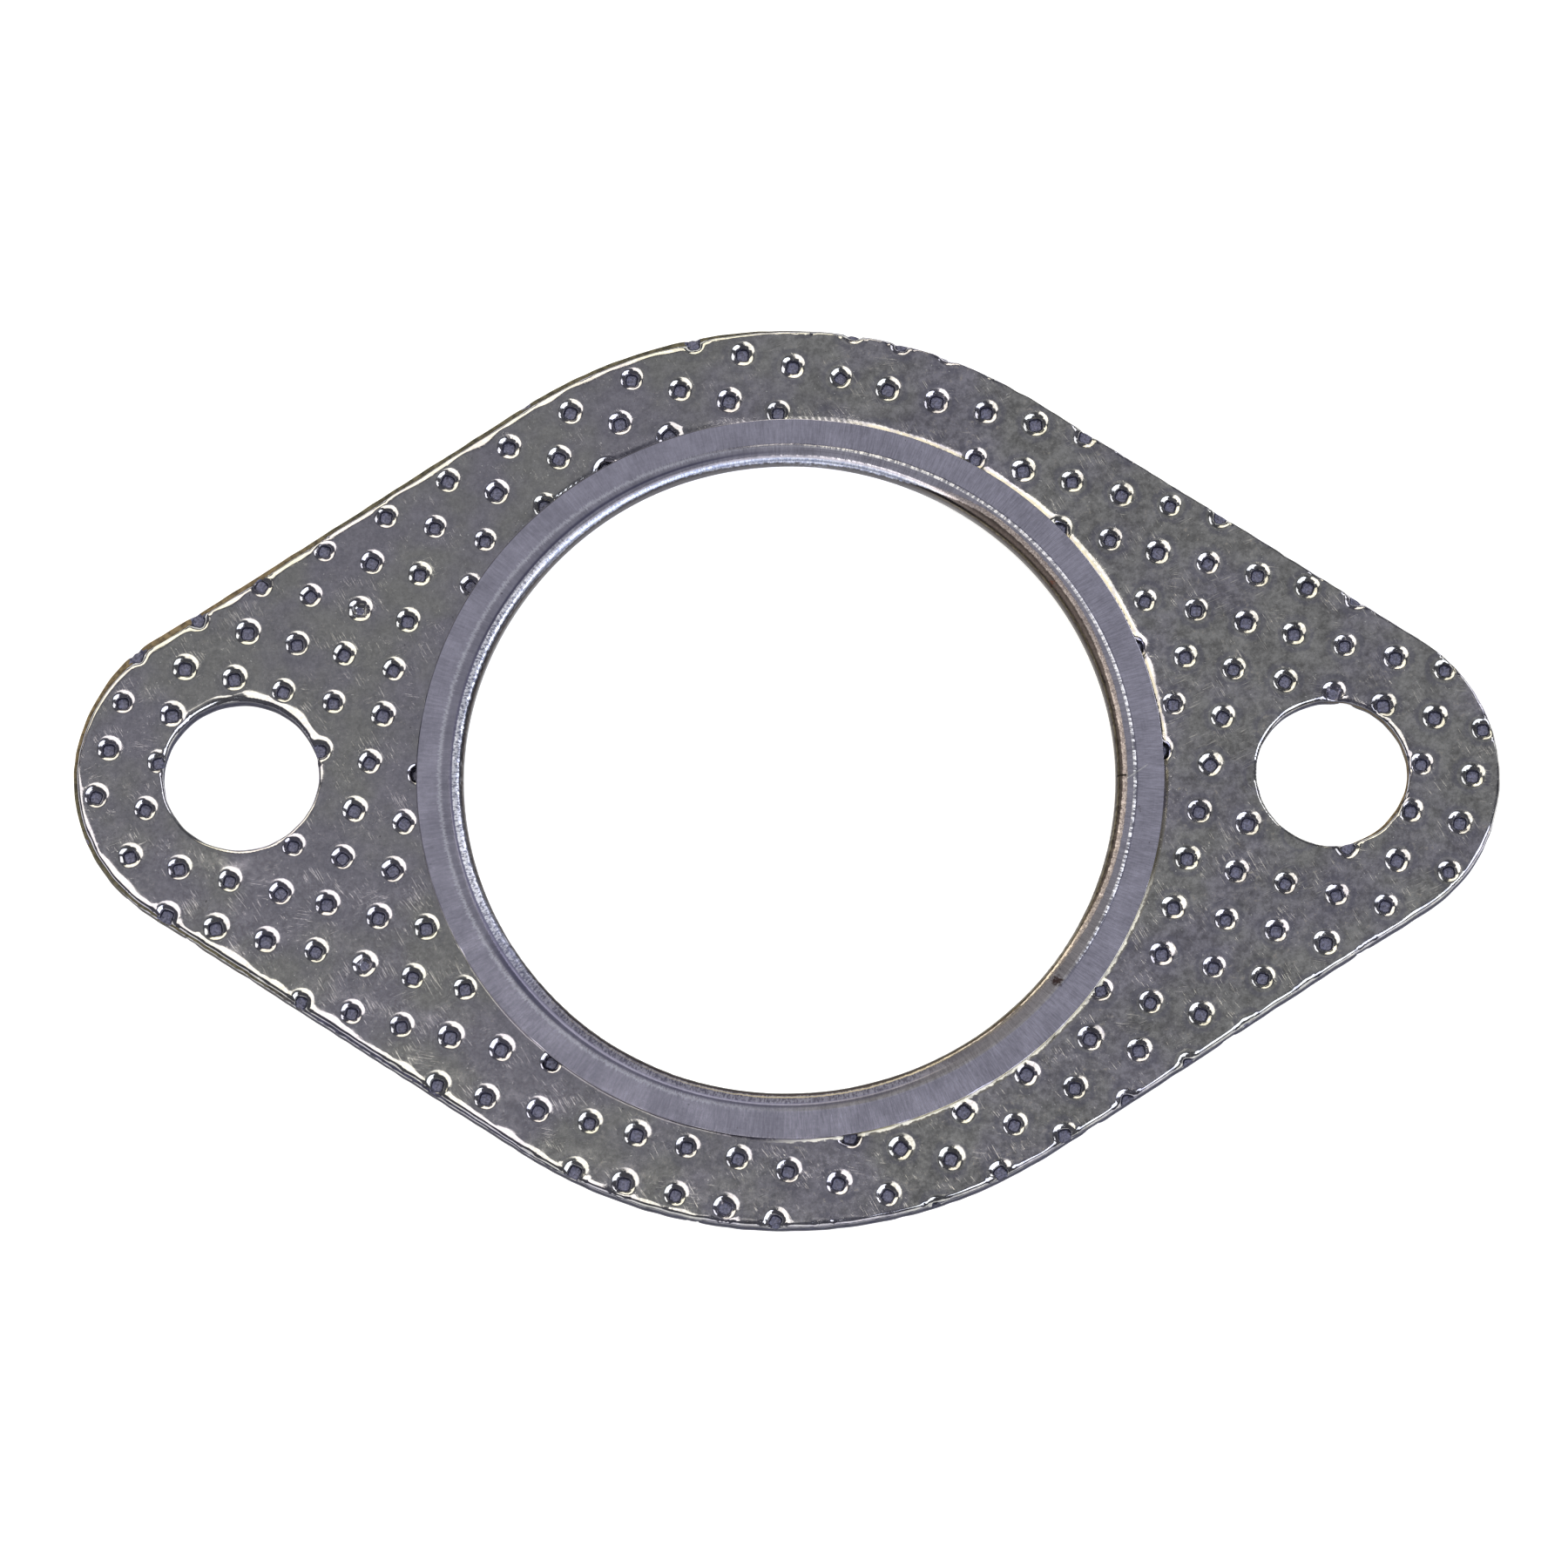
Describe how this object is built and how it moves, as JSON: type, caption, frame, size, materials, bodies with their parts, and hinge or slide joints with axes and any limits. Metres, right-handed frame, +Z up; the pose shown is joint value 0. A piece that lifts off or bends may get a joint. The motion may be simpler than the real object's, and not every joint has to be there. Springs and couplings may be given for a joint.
{
  "type": "exhaust gasket",
  "caption": "Flat eared flange gasket: punched steel facings grip a soft filler, and a rolled steel fire ring wraps the edge of the gas passage.",
  "frame": {"origin": "on the plane that the gasket rests on, on the axis of the gas passage", "axes": "+X towards one bolt hole, +Z up along the axis of the gas passage"},
  "size_m": [0.1118, 0.074, 0.0021],
  "materials": {
    "facing_steel": "rolled sheet, dull, finely scratched",
    "filler_sheet": "pressed fibre, matt brown at the edge",
    "ring_steel": "rolled strip with fine radial creases"
  },
  "bodies": {
    "root": {"upper_facing": "facing_steel", "filler": "filler_sheet", "lower_facing": "facing_steel", "fire_ring": "ring_steel"}
  },
  "joints": []
}
